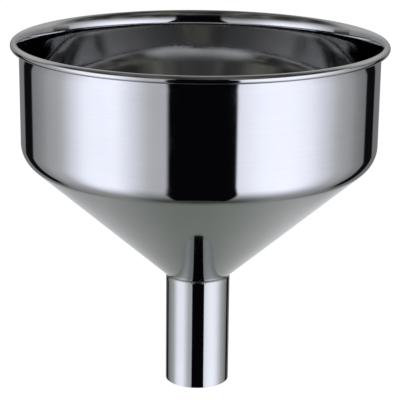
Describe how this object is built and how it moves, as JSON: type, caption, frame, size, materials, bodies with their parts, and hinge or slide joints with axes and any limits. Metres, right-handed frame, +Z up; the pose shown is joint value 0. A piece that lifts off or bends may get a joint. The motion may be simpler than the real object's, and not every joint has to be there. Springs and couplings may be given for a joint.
{
  "type": "canning funnel",
  "caption": "Open-topped polished steel canning funnel: upright round hopper with a rolled rim, sloping cone and a straight spout that drops into a jar's mouth.",
  "frame": {"origin": "centre of the spout's lower end, on the funnel's axis", "axes": "+Z up along the funnel's axis, from the spout to the open top"},
  "size_m": [0.3, 0.3, 0.2876],
  "materials": {
    "polished_sheet": "mirror-polished stainless steel sheet with faint polishing lines around the axis",
    "polished_tube": "mirror-polished stainless steel tube",
    "weld_steel": "dressed and polished stainless steel weld, slightly duller than the sheet"
  },
  "bodies": {
    "root": {"hopper_shell": "polished_sheet", "spout_tube": "polished_tube", "spout_weld": "weld_steel"}
  },
  "joints": []
}
